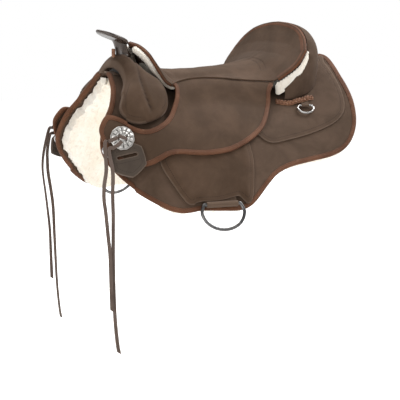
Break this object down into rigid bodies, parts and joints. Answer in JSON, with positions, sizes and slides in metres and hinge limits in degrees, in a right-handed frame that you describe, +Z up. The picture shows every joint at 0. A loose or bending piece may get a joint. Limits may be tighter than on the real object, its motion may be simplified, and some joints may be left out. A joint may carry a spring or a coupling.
{
  "type": "treeless saddle",
  "caption": "Treeless riding saddle with a horn: flexible leather skirts on fleece-lined panels, padded seat and fork, side flaps, rigging rings, conchos and strings.",
  "frame": {"origin": "on the horse's back line, under the middle of the seat", "axes": "+X to the back of the saddle, +Z up, -Y the near (left) side; Y = 0 is the plane of symmetry"},
  "size_m": [0.6251, 0.5204, 0.6587],
  "materials": {
    "brown_leather": "matt waxed nubuck",
    "rust_leather": "matt",
    "cream_fleece": "short curly pile",
    "grey_felt": "pressed felt",
    "seat_foam": "closed-cell foam",
    "stiffener": "fibre laminate",
    "horn_lacquer": "gloss lacquer",
    "bright_steel": "nickel plated",
    "dark_steel": "gunmetal",
    "engraved_silver": "engraved, darkened in the cuts",
    "brown_lace": "oiled",
    "black_webbing": "woven polyester"
  },
  "bodies": {
    "saddle": {"cantle_core": "stiffener", "cantle_shell": "brown_leather", "dish_pad": "seat_foam", "far_cantle_fleece": "cream_fleece", "far_concho": "engraved_silver", "far_fleece_lining": "cream_fleece", "far_front_keeper": "brown_leather", "far_front_string": "brown_lace", "far_jockey": "brown_leather", "far_jockey_binding": "rust_leather", "far_panel_felt": "grey_felt", "far_plaited_strap": "rust_leather", "far_rear_keeper": "brown_leather", "far_rear_pad": "brown_leather", "far_rear_string": "brown_lace", "far_rigging_cover": "brown_leather", "far_rigging_strap": "brown_leather", "far_seat_fleece": "cream_fleece", "far_skirt": "brown_leather", "far_skirt_binding": "rust_leather", "far_stirrup_plate": "bright_steel", "fork_swell": "brown_leather", "ground_seat": "seat_foam", "horn": "horn_lacquer", "horn_bolt": "bright_steel", "horn_lace_tab": "rust_leather", "near_cantle_fleece": "cream_fleece", "near_concho": "engraved_silver", "near_fleece_lining": "cream_fleece", "near_front_keeper": "brown_leather", "near_front_string": "brown_lace", "near_jockey": "brown_leather", "near_jockey_binding": "rust_leather", "near_panel_felt": "grey_felt", "near_plaited_strap": "rust_leather", "near_rear_keeper": "brown_leather", "near_rear_pad": "brown_leather", "near_rear_string": "brown_lace", "near_rigging_cover": "brown_leather", "near_rigging_strap": "brown_leather", "near_seat_fleece": "cream_fleece", "near_skirt": "brown_leather", "near_skirt_binding": "rust_leather", "near_stirrup_plate": "bright_steel", "pommel_arch": "stiffener", "rim_binding": "rust_leather", "seat_binding": "rust_leather", "seat_cover": "brown_leather", "spine_web": "brown_leather", "stirrup_webbing": "black_webbing"},
    "near_rigging_ring": {"near_rigging_ring": "dark_steel"},
    "near_rear_dee": {"near_rear_dee": "bright_steel"},
    "near_front_dee": {"near_front_dee": "bright_steel"},
    "near_hanger_tab": {"near_hanger_tab": "brown_leather"},
    "far_rigging_ring": {"far_rigging_ring": "dark_steel"},
    "far_rear_dee": {"far_rear_dee": "bright_steel"},
    "far_front_dee": {"far_front_dee": "bright_steel"},
    "far_hanger_tab": {"far_hanger_tab": "brown_leather"}
  },
  "joints": [
    {"name": "near_rigging_ring_swing", "type": "hinge", "parent": "saddle", "child": "near_rigging_ring", "pos_m": [-0.13205, -0.23088, -0.2008], "axis": [-0.9783, 0.207, 0], "range_deg": [0, 120]},
    {"name": "near_rear_dee_swing", "type": "hinge", "parent": "saddle", "child": "near_rear_dee", "pos_m": [0.11749, -0.15968, -0.01965], "axis": [-0.9139, 0.4059, 0], "range_deg": [0, 110]},
    {"name": "near_front_dee_swing", "type": "hinge", "parent": "saddle", "child": "near_front_dee", "pos_m": [-0.3243, -0.12351, -0.08439], "axis": [-0.9723, 0.2338, 0], "range_deg": [0, 8]},
    {"name": "near_hanger_tab_turn", "type": "hinge", "parent": "saddle", "child": "near_hanger_tab", "pos_m": [-0.30856, -0.14065, -0.06854], "axis": [-0.24, -0.8999, 0.3642], "range_deg": [-15, 4]},
    {"name": "far_rigging_ring_swing", "type": "hinge", "parent": "saddle", "child": "far_rigging_ring", "pos_m": [-0.13205, 0.23088, -0.2008], "axis": [0.9783, 0.207, 0], "range_deg": [0, 120]},
    {"name": "far_rear_dee_swing", "type": "hinge", "parent": "saddle", "child": "far_rear_dee", "pos_m": [0.11749, 0.15968, -0.01965], "axis": [0.9139, 0.4059, 0], "range_deg": [0, 110]},
    {"name": "far_front_dee_swing", "type": "hinge", "parent": "saddle", "child": "far_front_dee", "pos_m": [-0.3243, 0.12351, -0.08439], "axis": [0.9723, 0.2338, 0], "range_deg": [0, 8]},
    {"name": "far_hanger_tab_turn", "type": "hinge", "parent": "saddle", "child": "far_hanger_tab", "pos_m": [-0.30856, 0.14065, -0.06854], "axis": [0.24, -0.8999, -0.3642], "range_deg": [-15, 4]}
  ]
}
